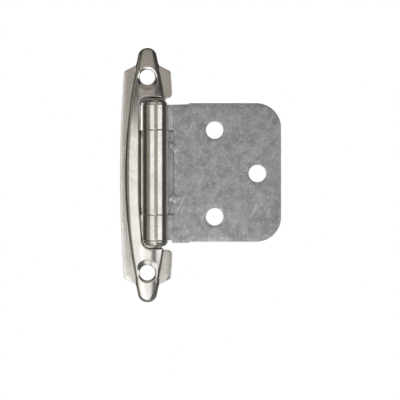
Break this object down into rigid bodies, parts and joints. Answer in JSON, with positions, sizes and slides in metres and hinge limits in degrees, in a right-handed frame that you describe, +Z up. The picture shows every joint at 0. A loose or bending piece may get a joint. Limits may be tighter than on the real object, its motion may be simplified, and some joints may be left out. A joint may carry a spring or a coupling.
{
  "type": "cabinet hinge",
  "caption": "Self-closing face-frame cabinet hinge: a pressed decorative frame leaf and a flat door leaf that swing on one pinned barrel.",
  "frame": {"origin": "midway between the two screw holes of the frame leaf, on the plane of the cabinet frame that the leaf is screwed to", "axes": "+Z up along the hinge's pin, +X from the frame leaf towards the door leaf, -Y out of the cabinet towards the viewer; the hinge is closed, with both leaves in the XZ plane"},
  "size_m": [0.0442, 0.0077, 0.07],
  "materials": {
    "frame_nickel": "satin nickel plate",
    "door_nickel": "satin nickel plate, lightly scuffed",
    "pin_nickel": "satin nickel plate",
    "spring_steel": "bright spring steel"
  },
  "bodies": {
    "frame_side": {"frame_leaf": "frame_nickel", "hinge_pin": "pin_nickel"},
    "door_side": {"door_leaf": "door_nickel", "closing_spring": "spring_steel"}
  },
  "joints": [
    {"name": "door_swing", "type": "hinge", "parent": "frame_side", "child": "door_side", "pos_m": [0.00225, -0.00415, 0.00065], "axis": [0, 0, -1], "range_deg": [0, 180], "stiffness_Nm_per_rad": 0.04, "springref_deg": -22.92}
  ]
}
